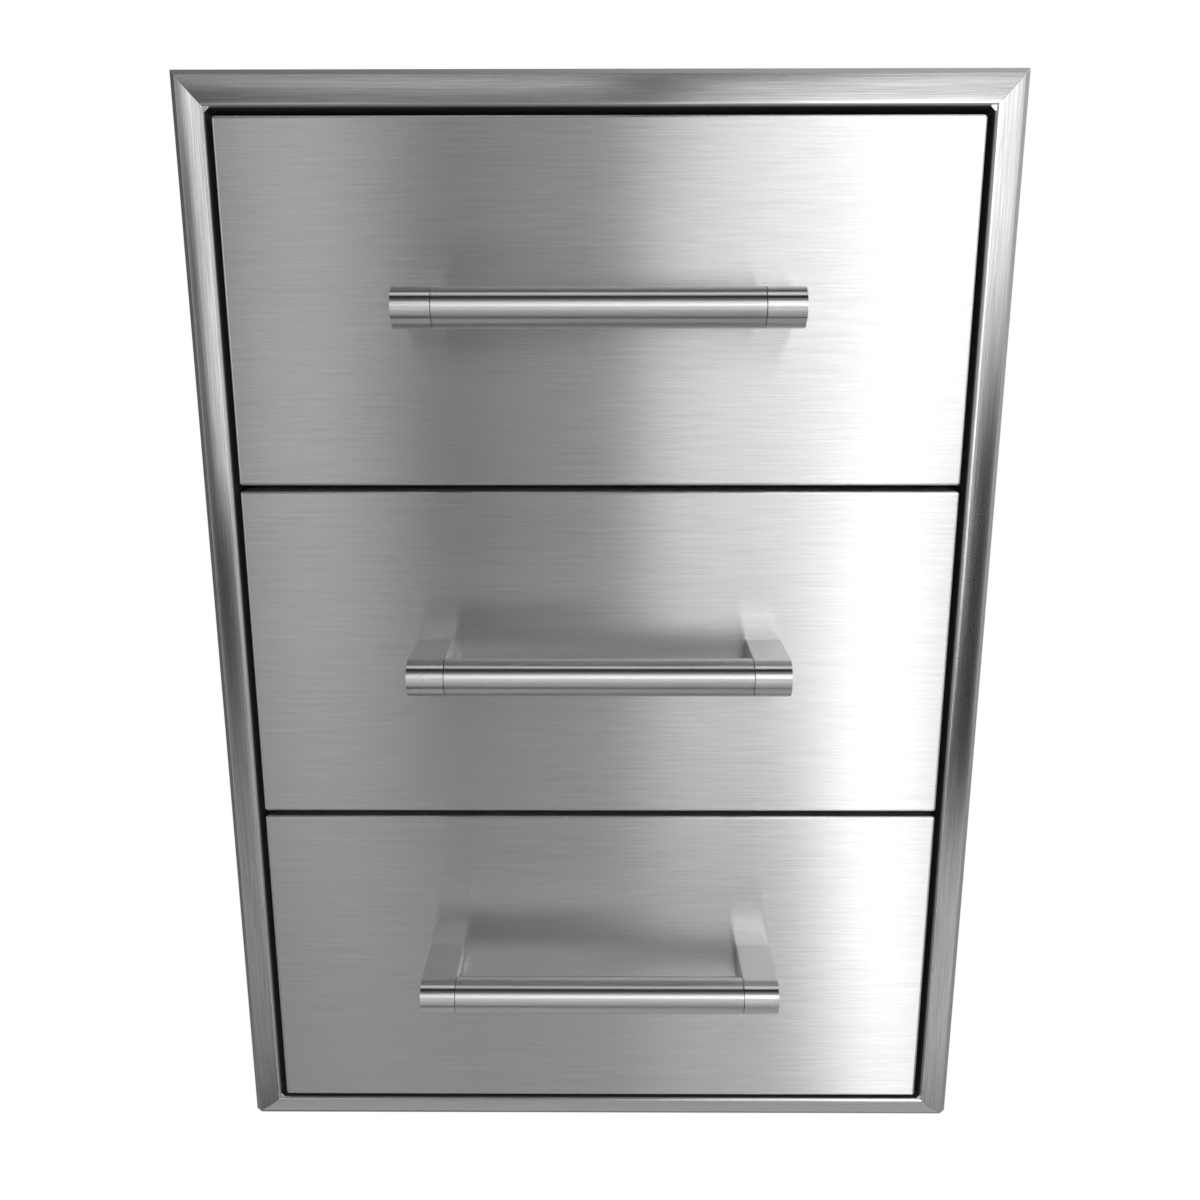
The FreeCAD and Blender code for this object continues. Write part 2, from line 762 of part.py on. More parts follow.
def tray_side_section(side):
    """A side wall of the tray with its turned-in rim and the flange that carries the floor."""
    sheet, height = S["tray_sheet"], S["tray_height"]
    outer, inner = side * TRAY_HALF, side * (TRAY_HALF - sheet)
    tip = side * (TRAY_HALF - S["tray_rim"])
    return [
        (tip, as_size(0)),
        (outer, as_size(0), S["tray_bend"]),
        (outer, height),
        (tip, height),
        (tip, height - sheet),
        (inner, height - sheet),
        (inner, sheet),
        (tip, sheet),
    ]


def make_tray_sides(row, base):
    """Left and right walls of the tray, slotted for the hook tabs of the slides."""
    sides = make_body(f"{ROWS[row]}_tray_sides")
    sections = [tray_side_section(side) for _, side in SIDES]
    pad(sides, "XZ", TRAY_START_Y, TRAY_END_Y, sections)
    reach = TRAY_HALF + CUT_MARGIN
    pocket(sides, "YZ", -reach, reach, tab_slots(S["slide_lift"] - S["tray_lift"]))
    place(sides, base)


def make_tray_end_walls(row, base):
    """Front and back walls of the tray, between the side walls."""
    walls = make_body(f"{ROWS[row]}_tray_end_walls")
    sheet, height, rim = S["tray_sheet"], S["tray_height"], S["tray_rim"]
    wide, narrow = TRAY_HALF - sheet, TRAY_HALF - rim
    plates = [rectangle(-wide, TRAY_START_Y, wide, TRAY_START_Y + sheet)]
    plates.append(rectangle(-wide, TRAY_END_Y - sheet, wide, TRAY_END_Y))
    rims = [rectangle(-narrow, TRAY_START_Y, narrow, TRAY_START_Y + rim)]
    rims.append(rectangle(-narrow, TRAY_END_Y - rim, narrow, TRAY_END_Y))
    pad(walls, "XY", sheet, height - sheet, plates)
    pad(walls, "XY", height - sheet, height, rims)
    pad(walls, "XY", 0, sheet, rims)
    place(walls, base)


def make_tray(row):
    """Tray of four folded walls and the floor that lies on their flanges."""
    base = (0, 0, front_low(row) + S["tray_lift"])
    make_tray_sides(row, base)
    make_tray_end_walls(row, base)
    floor = make_body(f"{ROWS[row]}_tray_floor")
    sheet = S["tray_sheet"]
    half = TRAY_HALF - sheet
    pad(floor, "XY", sheet, 2 * sheet, [rectangle(-half, TRAY_START_Y + sheet, half, TRAY_END_Y - sheet)])
    place(floor, base)


def post_profile():
    """Side of a handle post: a block that ends in the half-round of the bar."""
    return [
        (FACE_Y, -GRIP_RADIUS),
        (GRIP_Y, -GRIP_RADIUS),
        Bulge(GRIP_RADIUS, (-1, -1)),
        (GRIP_Y - GRIP_RADIUS, as_size(0)),
        Bulge(GRIP_RADIUS, (-1, 1)),
        (GRIP_Y, GRIP_RADIUS),
        (FACE_Y, GRIP_RADIUS),
    ]


def make_handle(row):
    """Round bar between two posts, with the bolts that hold them from inside the front."""
    base = (0, 0, front_low(row) + FRONT_HEIGHT / 2)
    half = S["handle_length"] / 2
    inner = half - S["post_width"]
    bar = make_body(f"{ROWS[row]}_handle_bar")
    reach = inner - S["grip_seam"]
    pad(bar, "YZ", -reach, reach, circles=[((GRIP_Y, as_size(0)), S["grip_diameter"])])
    place(bar, base)
    posts = make_body(f"{ROWS[row]}_handle_posts")
    pad(posts, "YZ", -half, -inner, [post_profile()])
    pad(posts, "YZ", inner, half, [post_profile()])
    bores = [((across, as_size(0)), BOLT_HOLE) for across, _ in handle_spots()]
    bottom = FACE_Y - S["bolt_depth"] - S["bolt_clearance"]
    pocket(posts, "XZ", bottom, FACE_Y, circles=bores)
    place(posts, base)
    make_handle_bolts(row, base)


def make_handle_bolts(row, base):
    """Hexagon bolts of one handle, their heads inside the hollow front."""
    bolts = make_body(f"{ROWS[row]}_handle_bolts")
    seat = FACE_Y + S["front_sheet"]
    half = S["bolt_head"] / 2
    corner = half * 2 / as_size(3).root()
    heads = []
    for across, _ in handle_spots():
        heads.append([
            (across - corner, as_size(0)),
            (across - corner / 2, -half),
            (across + corner / 2, -half),
            (across + corner, as_size(0)),
            (across + corner / 2, half),
            (across - corner / 2, half),
        ])
    pad(bolts, "XZ", seat, seat + S["bolt_head_height"], heads)
    stems = [((across, as_size(0)), S["bolt_diameter"]) for across, _ in handle_spots()]
    pad(bolts, "XZ", FACE_Y - S["bolt_depth"], seat, circles=stems)
    place(bolts, base)


def check_document():
    document.recompute()
    for item in document.Objects:
        if "Invalid" in item.State or "Error" in item.State:
            raise RuntimeError(f"{item.Label} is {item.State}")
    for node in nodes:
        if node.Shape.isNull() or not node.Shape.isValid() or not node.Shape.Solids:
            raise RuntimeError(f"{node.Label} has no valid shape")


def write_parts():
    os.makedirs("parts", exist_ok=True)
    for node in nodes:
        node.Shape.exportStep(f"parts/{node.Label}.step")
    print(f"{len(nodes)} nodes, {sum(len(node.Shape.Solids) for node in nodes)} solids")


def build():
    make_frame()
    make_case()
    for row in range(len(ROWS)):
        for name, side in SIDES:
            make_rails(row, name, side)
        make_cages(row, "outer", S["outer_race"], OUTER_BALL_Z)
        make_cages(row, "inner", S["inner_race"], INNER_BALL_Z)
        make_front(row)
        make_tray(row)
        make_handle(row)
    make_slide_stops()
    check_document()
    write_parts()


build()
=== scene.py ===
"""Looks of the built-in three-drawer unit: brushed stainless steel in a plain pale studio.

Metres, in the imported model's frame: X to the right, Y into the island, Z up.
"""
import bpy
import json
import math
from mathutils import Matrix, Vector


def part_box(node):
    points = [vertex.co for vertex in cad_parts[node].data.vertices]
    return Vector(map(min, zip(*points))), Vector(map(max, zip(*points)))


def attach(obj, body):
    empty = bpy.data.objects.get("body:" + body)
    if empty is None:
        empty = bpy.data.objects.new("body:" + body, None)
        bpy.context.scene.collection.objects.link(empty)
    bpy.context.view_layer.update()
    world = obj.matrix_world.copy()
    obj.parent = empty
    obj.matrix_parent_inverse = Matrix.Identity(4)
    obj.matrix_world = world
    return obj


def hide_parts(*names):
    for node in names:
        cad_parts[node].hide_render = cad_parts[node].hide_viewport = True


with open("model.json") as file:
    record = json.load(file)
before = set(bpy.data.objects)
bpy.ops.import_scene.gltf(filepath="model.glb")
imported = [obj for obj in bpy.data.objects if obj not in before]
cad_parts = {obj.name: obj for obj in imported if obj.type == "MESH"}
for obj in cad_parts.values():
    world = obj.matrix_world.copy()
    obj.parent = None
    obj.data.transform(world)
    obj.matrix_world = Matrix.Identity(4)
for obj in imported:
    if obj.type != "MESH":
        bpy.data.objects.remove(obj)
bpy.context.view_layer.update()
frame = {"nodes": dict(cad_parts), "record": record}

ROWS = ("lower", "middle", "upper")
SIDES = (("left", -1), ("right", 1))
MM = 0.001
TINY = 1e-6

# Camera of the photograph; its angles are degrees
FOCAL_PIXELS = 1169.5
IMAGE_PIXELS = 1200
SENSOR_MM = 36.0
CAMERA_PLACE = (0.0039, -0.6353, 0.4778)
CAMERA_PITCH = 14.311
CAMERA_YAW = 0.32
CAMERA_ROLL = 0.052
CAMERA_NEAR = 0.01

# Section of the trim frame
TRIM_WIDTH = 19.7 * MM
TRIM_RISE = 13.4 * MM
TRIM_LIP = 2.4 * MM
TRIM_EDGE = 3.0 * MM
TRIM_CURVE = 35.0 * MM
TRIM_FOLD = 2.0 * MM
TRIM_SHEET = 1.5 * MM
TRIM_FLANGE = 11.0 * MM
TRIM_THROAT = 24.0 * MM
THROAT_START = TRIM_FOLD - TRIM_RISE
CROWN_STEPS = 16
FOLD_STEPS = 6

# Corners of the trim frame
CORNER_GRIND = 2.8 * MM
MITRE_CLOSE = 1e-5
EDGE_EASE = 0.2 * MM
MITRE_EASE = 0.6 * MM
MITRE_STEPS = 3
CORNER_WELD = 2.2 * MM
WELD_DEPTH = 1.2 * MM
WELD_SET_BACK = 0.4 * MM
WELD_STEPS = 3

# Material slots of one side of the trim, after the crown's, which comes first
# The throat slot, the lip slot on the top, bottom and right sides and the fold slot on all sides
# but the bottom hold steel painted darker as painted shade
THROAT_SLOT = 1
LIP_SLOT = 2
FOLD_SLOT = 3
MITRE_SLOT = 4

# How far a face is turned towards an axis before it counts as facing it: 1 is squarely
THROAT_TURN = 0.8
LIP_TURN = 0.9
FOLD_TURN = 0.3
BACK_TURN = 0.5

# Drawer fronts and handles
FRONT_SHEET = 1.0 * MM
FRONT_BEND = 1.6 * MM
GRIP_SEAM = 0.25 * MM
GRIP_EASE = 0.3 * MM
GRIP_SIDES = 96

# Sheets and slides
MERGE_WITHIN = 0.002 * MM
FLAT_DEGREES = 0.5
SHEET_EASE = 0.15 * MM
SLIDE_EASE = 0.12 * MM
STRIP_EASE = 0.08 * MM
BOLT_EASE = 0.3 * MM
BALL_RATIO = 1.3
BALL_SUBDIVISIONS = 3

# Edges that turn by more than this many degrees are rounded over
TRIM_CREASE = 40
GRIP_CREASE = 60
SHEET_CREASE = 50
EASE_STEPS = 2

# Edges that turn by less than this many degrees are shaded smooth
SMOOTH_DEGREES = 30
CAGE_SMOOTH_DEGREES = 40

# Patterns of the finishes: noise scales, the bands of a noise that are used, and the shares of
# colour and roughness that they add and take away
GRAIN_ALONG = 30.0
GRAIN_ACROSS = 1500.0
CLOUD_SCALE = 14.0
SPOT_SCALE = 400.0
MIDDLE_BAND = (0.3, 0.7)
WHOLE_BAND = (0.0, 1.0)
CLOUD_ROUGHNESS = 0.06
SPOT_COLOUR = 0.1
SPOT_ROUGHNESS = 0.15
BUMP_HEIGHT = 0.2 * MM


# Modelling

def deselect():
    """Leave edit mode and select nothing."""
    if bpy.context.mode != "OBJECT":
        bpy.ops.object.mode_set(mode="OBJECT")
    bpy.ops.object.select_all(action="DESELECT")


def activate(piece):
    """Make one object the only selected and active one."""
    deselect()
    piece.select_set(True)
    bpy.context.view_layer.objects.active = piece


def edit_all(piece):
    """Enter edit mode with everything selected."""
    activate(piece)
    bpy.ops.object.mode_set(mode="EDIT")
    bpy.ops.mesh.select_all(action="SELECT")


def done():
    """Leave edit mode."""
    bpy.ops.object.mode_set(mode="OBJECT")


def select_faces(piece, test):
    """Enter edit mode with the faces selected whose centre and normal pass a test."""
    activate(piece)
    bpy.context.tool_settings.mesh_select_mode = (False, False, True)
    for item in (*piece.data.vertices, *piece.data.edges):
        item.select = False
    for face in piece.data.polygons:
        face.select = test(face.center, face.normal)
    bpy.ops.object.mode_set(mode="EDIT")


def select_edges(piece, test):
    """Enter edit mode with the edges selected whose two ends pass a test."""
    activate(piece)
    bpy.context.tool_settings.mesh_select_mode = (False, True, False)
    vertices = piece.data.vertices
    for item in (*vertices, *piece.data.polygons):
        item.select = False
    for edge in piece.data.edges:
        edge.select = test(*(vertices[index].co for index in edge.vertices))
    bpy.ops.object.mode_set(mode="EDIT")


def apply_place():
    """Put the place, turn and scale of the selected object into its mesh."""
    bpy.ops.object.transform_apply(location=True, rotation=True, scale=True)


def block(name, low, high):
    """A box between two corners."""
    deselect()
    low, high = Vector(low), Vector(high)
    bpy.ops.mesh.primitive_cube_add(size=1, location=(low + high) / 2, scale=high - low)
    piece = bpy.context.active_object
    piece.name = name
    apply_place()
    return piece


def modifier(piece, kind, **settings):
    """Add a modifier, set it and apply it."""
    activate(piece)
    item = piece.modifiers.new(kind.title(), kind)
    for name, value in settings.items():
        setattr(item, name, value)
    bpy.ops.object.modifier_apply(modifier=item.name)


def round_edges(piece, width, degrees, steps=EASE_STEPS):
    """Round over the edges that turn by more than some degrees."""
    limit = math.radians(degrees)
    modifier(piece, "BEVEL", width=width, segments=steps, limit_method="ANGLE", angle_limit=limit)


def bevel_selected(width, steps, **settings):
    """Round over the selected edges and leave edit mode."""
    bpy.ops.mesh.bevel(
        offset=width, offset_type="OFFSET", segments=steps, affect="EDGES", **settings)
    done()


def smooth(piece, degrees=SMOOTH_DEGREES):
    """Shade curved stretches smooth and keep the flats between them flat."""
    activate(piece)
    bpy.ops.object.shade_smooth_by_angle(angle=math.radians(degrees))
    modifier(piece, "WEIGHTED_NORMAL", weight=100, keep_sharp=True)


def outward(piece):
    """Merge doubled vertices and turn every normal outwards."""
    edit_all(piece)
    bpy.ops.mesh.remove_doubles(threshold=TINY)
    bpy.ops.mesh.normals_make_consistent(inside=False)
    done()


def cut_away(piece, point, normal):
    """Cut off what lies beyond a plane and close the cut."""
    edit_all(piece)
    bpy.ops.mesh.bisect(plane_co=point, plane_no=normal, use_fill=True, clear_outer=True)
    done()


def finish(piece, body, slot, material, *nodes):
    """Give a piece its material and its body, and hide the nodes that it stands for. slot is not
    used.
    """
    if not piece.data.materials:
        piece.data.materials.append(material)
    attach(piece, body)
    if nodes:
        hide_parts(*nodes)
    return piece


# Shader nodes

def link(tree, source, target):
    """Connect two sockets."""
    tree.links.new(source, target)


def shader_node(tree, kind, **inputs):
    """A node with some of its inputs set by name."""
    item = tree.nodes.new(kind)
    for name, value in inputs.items():
        item.inputs[name.replace("_", " ")].default_value = value
    return item


def math_node(tree, operation, first, second=None, third=None):
    """The result of a math node whose inputs are numbers or sockets."""
    item = tree.nodes.new("ShaderNodeMath")
    item.operation = operation
    for index, value in enumerate((first, second, third)):
        if isinstance(value, (int, float)):
            item.inputs[index].default_value = value
        elif value is not None:
            link(tree, value, item.inputs[index])
    return item.outputs[0]


def between(tree, value, low, high):
    """1 between two blurred edges and 0 outside them."""
    edges = []
    for place, blur in (low, high):
        edge = shader_node(
            tree, "ShaderNodeMapRange", From_Min=place - blur, From_Max=place + blur)
        edge.interpolation_type = "SMOOTHSTEP"
        link(tree, value, edge.inputs["Value"])
        edges.append(edge.outputs[0])
    return math_node(tree, "SUBTRACT", *edges)


def noise(tree, place, **inputs):
    """A noise at some coordinates."""
    item = shader_node(tree, "ShaderNodeTexNoise", **inputs)
    link(tree, place, item.inputs["Vector"])
    return item.outputs[0]


def vary(tree, pattern, target, middle, share, band):
    """Let a pattern drive a socket from a share below a middle value to the same share above it."""
    scale = shader_node(
        tree, "ShaderNodeMapRange", From_Min=band[0], From_Max=band[1],
        To_Min=middle * (1 - share), To_Max=middle * (1 + share))
    link(tree, pattern, scale.inputs["Value"])
    link(tree, scale.outputs[0], target)


def tint(tree, shader, colour, pattern, share):
    """A base colour that a pattern makes lighter and darker by a share."""
    base = shader_node(tree, "ShaderNodeMixRGB", Fac=1.0, Color1=(*colour, 1.0))
    base.blend_type = "MULTIPLY"
    vary(tree, pattern, base.inputs["Color2"], 1.0, share, MIDDLE_BAND)
    link(tree, base.outputs[0], shader.inputs["Base Color"])


def new_material(name, metallic):
    """A material, its node tree and its shader."""
    material = bpy.data.materials.new(name)
    material.use_nodes = True
    tree = material.node_tree
    shader = tree.nodes["Principled BSDF"]
    shader.inputs["Metallic"].default_value = metallic
    return material, tree, shader


# Finishes

def brushed_steel(
        name, colour, across, grain, roughness=0.3, stretch=1.0, streaks=0.05, bump=0.03):
    """Steel brushed along one axis.

    across is the direction over the grain, grain its scale per axis, stretch how anisotropic the
    gloss is, and streaks how much the grain varies the colour.
    """
    material, tree, shader = new_material(name, 1.0)
    shader.inputs["Anisotropic"].default_value = stretch
    direction = shader_node(tree, "ShaderNodeCombineXYZ", X=across[0], Y=across[1], Z=across[2])
    link(tree, direction.outputs[0], shader.inputs["Tangent"])
    place = tree.nodes.new("ShaderNodeTexCoord").outputs["Object"]
    mapping = shader_node(tree, "ShaderNodeMapping", Scale=grain)
    link(tree, place, mapping.inputs["Vector"])
    fine = noise(tree, mapping.outputs[0], Scale=1.0, Detail=3.0, Roughness=0.6)
    cloud = noise(tree, place, Scale=CLOUD_SCALE, Detail=2.0, Roughness=0.5)
    tint(tree, shader, colour, fine, streaks)
    vary(tree, cloud, shader.inputs["Roughness"], roughness, CLOUD_ROUGHNESS, WHOLE_BAND)
    lift = shader_node(tree, "ShaderNodeBump", Strength=bump, Distance=BUMP_HEIGHT)
    link(tree, fine, lift.inputs["Height"])
    link(tree, lift.outputs[0], shader.inputs["Normal"])
    return material


def plain_material(name, colour, metallic, roughness):
    """A lightly mottled material without a grain."""
    material, tree, shader = new_material(name, metallic)
    place = tree.nodes.new("ShaderNodeTexCoord").outputs["Object"]
    spots = noise(tree, place, Scale=SPOT_SCALE, Detail=3.0)
    tint(tree, shader, colour, spots, SPOT_COLOUR)
    vary(tree, spots, shader.inputs["Roughness"], roughness, SPOT_ROUGHNESS, MIDDLE_BAND)
    return material


ALONG_X = (GRAIN_ALONG, GRAIN_ACROSS, GRAIN_ACROSS)
ALONG_Y = (GRAIN_ACROSS, GRAIN_ALONG, GRAIN_ACROSS)
ALONG_Z = (GRAIN_ACROSS, GRAIN_ACROSS, GRAIN_ALONG)
STEEL = (0.60, 0.60, 0.605)

front_steel = brushed_steel(
    "front_steel", STEEL, (0, 0, 1), ALONG_X, roughness=0.26, streaks=0.06, bump=0.12)
side_steel = {
    "bottom": brushed_steel(
        "bottom_rail_steel", STEEL, (0, 1, 1), ALONG_X, roughness=0.25, stretch=0.9, streaks=0.10),
    "top": brushed_steel(
        "top_rail_steel", STEEL, (0, 1, -1), ALONG_X, roughness=0.27, streaks=0.14),
    "left": brushed_steel(
        "left_stile_steel", STEEL, (1, 1, 0), ALONG_Z, roughness=0.24, stretch=0.8, streaks=0.22),
    "right": brushed_steel(
        "right_stile_steel", STEEL, (1, -1, 0), ALONG_Z, roughness=0.24, stretch=0.8, streaks=0.22),
}
# Painted shade: the outer lip of the top, bottom and right sides is painted darker than the crown's
# steel; the left lip keeps the front steel
lip_painted_shade = brushed_steel(
    "lip_painted_shade", (0.32, 0.32, 0.325), (0, 0, 1), ALONG_X, roughness=0.5, stretch=0.5)
# Painted shade: the inner fold beside the gap is painted darker than the crown's steel, which dims
# its highlight
fold_painted_shade = brushed_steel(
    "fold_painted_shade", (0.4, 0.4, 0.4), (0, 1, 0), ALONG_Z, roughness=0.45, stretch=0.3)
# Painted shade: the throat is the same steel as the crown, painted near black so that the gap
# around the fronts looks dark
throat_painted_shade = brushed_steel(
    "throat_painted_shade", (0.2, 0.2, 0.2), (0, 1, 0), ALONG_X, roughness=0.5, stretch=0.3)
handle_steel = brushed_steel(
    "handle_steel", STEEL, (1, 0, 0), ALONG_X, roughness=0.33, streaks=0.03, bump=0)
post_steel = brushed_steel(
    "post_steel", STEEL, (1, 0, 0), ALONG_X, roughness=0.27, streaks=0.01, bump=0)
case_steel = brushed_steel(
    "case_steel", (0.5, 0.5, 0.505), (0, 0, 1), ALONG_Y, roughness=0.4, stretch=0.5)
slide_steel = brushed_steel(
    "slide_steel", (0.62, 0.64, 0.66), (0, 0, 1), ALONG_Y, roughness=0.3, stretch=0.3)
weld_steel = plain_material("weld_steel", (0.62, 0.62, 0.62), 1.0, 0.35)
cage_steel = plain_material("cage_steel", (0.66, 0.66, 0.67), 1.0, 0.25)
bolt_steel = plain_material("bolt_steel", (0.58, 0.58, 0.59), 1.0, 0.35)
stop_rubber = plain_material("stop_rubber", (0.05, 0.05, 0.05), 0.0, 0.7)

SLOT_MATERIALS = {
    "front_steel": front_steel,
    "frame_steel": side_steel["top"],
    "handle_steel": handle_steel,
    "case_steel": case_steel,
    "slide_steel": slide_steel,
    "cage_steel": cage_steel,
    "bolt_steel": bolt_steel,
    "stop_rubber": stop_rubber,
}

for entry in frame["record"]["subparts"]:
    mesh = frame["nodes"][entry["node"]].data
    mesh.materials.clear()
    mesh.materials.append(SLOT_MATERIALS[entry["material_slot"]])


# Trim frame

class Outline:
    """A closed outline in a plane of constant x, drawn from one vertex as (y, z) points."""

    def __init__(self, x, y, z):
        deselect()
        bpy.ops.mesh.primitive_plane_add(size=TINY, location=(x, y, z))
        self.piece = bpy.context.active_object
        apply_place()
        bpy.context.tool_settings.mesh_select_mode = (True, False, False)
        edit_all(self.piece)
        bpy.ops.mesh.merge(type="CENTER")
        self.start = self.last = Vector((y, z))

    def line(self, y, z):
        """A straight side to a point."""
        step = (0, y - self.last.x, z - self.last.y)
        bpy.ops.mesh.extrude_region_move(TRANSFORM_OT_translate={"value": step})
        self.last = Vector((y, z))

    def arc(self, y, z, radius, steps, sign=1):
        """An arc that bulges away from the wall; sign is -1 where it runs to the outer edge."""
        end = Vector((y, z))
        chord = end - self.last
        inwards = Vector((chord.y, -chord.x)).normalized() * sign
        depth = math.sqrt(max(radius**2 - (chord.length / 2) ** 2, 0))
        centre = (self.last + end) / 2 + inwards * depth
        angle = 2 * math.asin(min(chord.length / 2 / radius, 1))
        bpy.ops.mesh.spin(steps=steps, angle=sign * angle, center=(0, *centre), axis=(1, 0, 0))
        self.last = end

    def extrude(self, length):
        """Close the outline, fill it and pull it along x."""
        self.line(*self.start)
        bpy.ops.mesh.select_all(action="SELECT")
        bpy.ops.mesh.remove_doubles(threshold=TINY)
        bpy.ops.mesh.edge_face_add()
        bpy.ops.mesh.extrude_region_move(TRANSFORM_OT_translate={"value": (length, 0, 0)})
        outward(self.piece)
        return self.piece


def trim_section(start, length):
    """The trim's folded sheet, drawn with its outer edge at z = 0 and pulled along x."""
    shoulder = TRIM_WIDTH - TRIM_FOLD
    inner = TRIM_WIDTH - TRIM_SHEET
    wall = TRIM_LIP + TRIM_SHEET
    outline = Outline(start, 0, 0)
    outline.line(-TRIM_SHEET, 0)
    outline.line(-TRIM_SHEET, TRIM_LIP)
    outline.line(-TRIM_EDGE, TRIM_LIP)
    outline.arc(-TRIM_RISE, shoulder, TRIM_CURVE, CROWN_STEPS)
    outline.arc(THROAT_START, TRIM_WIDTH, TRIM_FOLD, FOLD_STEPS)
    outline.line(TRIM_THROAT, TRIM_WIDTH)
    outline.line(TRIM_THROAT, inner)
    outline.line(THROAT_START, inner)
    outline.arc(TRIM_SHEET - TRIM_RISE, shoulder, TRIM_FOLD - TRIM_SHEET, FOLD_STEPS, -1)
    outline.arc(TRIM_SHEET / 2 - TRIM_EDGE, wall, TRIM_CURVE - TRIM_SHEET, CROWN_STEPS, -1)
    outline.line(-TRIM_SHEET, wall)
    outline.line(-TRIM_SHEET, TRIM_FLANGE)
    outline.line(0, TRIM_FLANGE)
    return outline.extrude(length)


def trim_slot(face):
    """The material slot of one face of a side of the trim, by its place and turn: it picks out the
    throat, the lip and the inner fold, where the darker steels put painted shade.
    """
    place, turn = face.center, face.normal
    if face.material_index == MITRE_SLOT:
        return MITRE_SLOT
    if place.z > TRIM_WIDTH - TRIM_SHEET - TINY and turn.z > THROAT_TURN:
        return THROAT_SLOT
    if place.z < TRIM_LIP and turn.y < -LIP_TURN:
        return LIP_SLOT
    if place.z > TRIM_WIDTH - TRIM_FOLD and turn.z > FOLD_TURN:
        return FOLD_SLOT
    return face.material_index


def on_mitre(corner, side, half):
    """Whether a corner lies in the plane of one end's mitre."""
    return abs(side * corner.x + corner.z - half) < MITRE_CLOSE


def trim_rail(name, half, steels, ground, mitre_ease):
    """One side of the frame, modelled as a bottom rail whose outer edge is at z = 0.

    half is half its length; steels are those of the crown, the throat, the lip, the inner fold and
    the mitres; ground names the ends whose corner is ground off; mitre_ease rounds the mitres.
    """
    reach = half + CORNER_GRIND
    rail = trim_section(-reach, 2 * reach)
    rail.name = name
    for steel in steels:
        rail.data.materials.append(steel)
    round_edges(rail, EDGE_EASE, TRIM_CREASE)
    for side in (-1, 1):
        cut_away(rail, (side * half, 0, 0), (side, 0, 1))
        if mitre_ease:
            select_edges(rail, lambda a, b: on_mitre(a, side, half) and on_mitre(b, side, half))
            bevel_selected(mitre_ease, MITRE_STEPS, clamp_overlap=True, material=MITRE_SLOT)
        if side in ground:
            cut_away(rail, (side * (half - CORNER_GRIND), 0, 0), (side, 0, -1))
    smooth(rail)
    for face in rail.data.polygons:
        face.material_index = trim_slot(face)
    return rail


def corner_weld(name, corner, side, up):
    """Weld metal that fills one inner corner of the throat across at 45 degrees."""
    x, z = corner
    front = WELD_SET_BACK - TRIM_RISE
    left, right = sorted((x - side * WELD_DEPTH, x + side * CORNER_WELD))
    bottom, top = sorted((z - up * WELD_DEPTH, z + up * CORNER_WELD))
    weld = block(name, (left, front, bottom), (right, TRIM_THROAT, top))
    cut_away(weld, (x + side * CORNER_WELD, 0, z), (side, 0, up))
    round_edges(weld, EDGE_EASE, TRIM_CREASE, WELD_STEPS)
    smooth(weld)
    finish(weld, "cabinet", "frame_steel", weld_steel)


def build_frame():
    """Four mitred sides, each turned to its place, and the welds in their inner corners."""
    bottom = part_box("frame_bottom_rail")[0].z
    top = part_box("frame_top_rail")[1].z
    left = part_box("frame_left_stile")[0].x
    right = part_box("frame_right_stile")[1].x
    half_width = (right - left) / 2
    half_height = (top - bottom) / 2
    centre = ((left + right) / 2, 0, (bottom + top) / 2)
    for side, half, offset, turn, ground in (
        ("bottom", half_width, (centre[0], 0, bottom), 0, (-1, 1)),
        ("top", half_width, (centre[0], 0, top), 180, ()),
        ("left", half_height, (left, 0, centre[2]), 90, (1,)),
        ("right", half_height, (right, 0, centre[2]), -90, (-1,)),
    ):
        kind = "stile" if side in ("left", "right") else "rail"
        # Painted shade: every throat, the lips of the top, bottom and right sides and the inner
        # folds of all but the bottom get darker steel; the left lip keeps the front steel and the
        # bottom fold the bottom rail's steel
        lip = front_steel if side == "left" else lip_painted_shade
        fold = side_steel["bottom"] if side == "bottom" else fold_painted_shade
        mitre_ease = MITRE_EASE if kind == "stile" else 0
        steels = (side_steel[side], throat_painted_shade, lip, fold, weld_steel)
        rail = trim_rail(f"trim_{side}", half, steels, ground, mitre_ease)
        rail.rotation_euler = (0, math.radians(turn), 0)
        rail.location = offset
        activate(rail)
        apply_place()
        finish(rail, "cabinet", "frame_steel", side_steel[side], f"frame_{side}_{kind}")
    for name, x, side in (("left", left, 1), ("right", right, -1)):
        for level, z, up in (("bottom", bottom, 1), ("top", top, -1)):
            corner = (x + side * TRIM_WIDTH, z + up * TRIM_WIDTH)
            corner_weld(f"weld_{level}_{name}", corner, side, up)


build_frame()


# Drawer fronts and handles

def drawer_face(row):
    """The folded outer skin of a drawer front, open at its back."""
    node = f"{row}_front_skin"
    low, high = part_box(node)
    face = block(f"{row}_face", low, high)
    select_faces(face, lambda centre, normal: normal.y > BACK_TURN)
    bpy.ops.mesh.delete(type="FACE")
    select_edges(face, lambda a, b: min(a.y, b.y) < low.y + TINY)
    bevel_selected(FRONT_BEND, FOLD_STEPS)
    modifier(face, "SOLIDIFY", thickness=FRONT_SHEET, offset=-1, use_even_offset=True)
    smooth(face)
    return finish(face, f"{row}_drawer", "front_steel", front_steel, node)


def handle_bar(row):
    """The round bar between the posts, its ends eased where they meet the seams."""
    node = f"{row}_handle_bar"
    low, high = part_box(node)
    deselect()
    bpy.ops.mesh.primitive_cylinder_add(
        vertices=GRIP_SIDES, radius=(high.z - low.z) / 2, depth=high.x - low.x,
        location=(Vector(low) + Vector(high)) / 2, rotation=(0, math.radians(90), 0))
    bar = bpy.context.active_object
    bar.name = f"{row}_bar"
    apply_place()
    round_edges(bar, GRIP_EASE, GRIP_CREASE)
    smooth(bar)
    return finish(bar, f"{row}_drawer", "handle_steel", handle_steel, node)


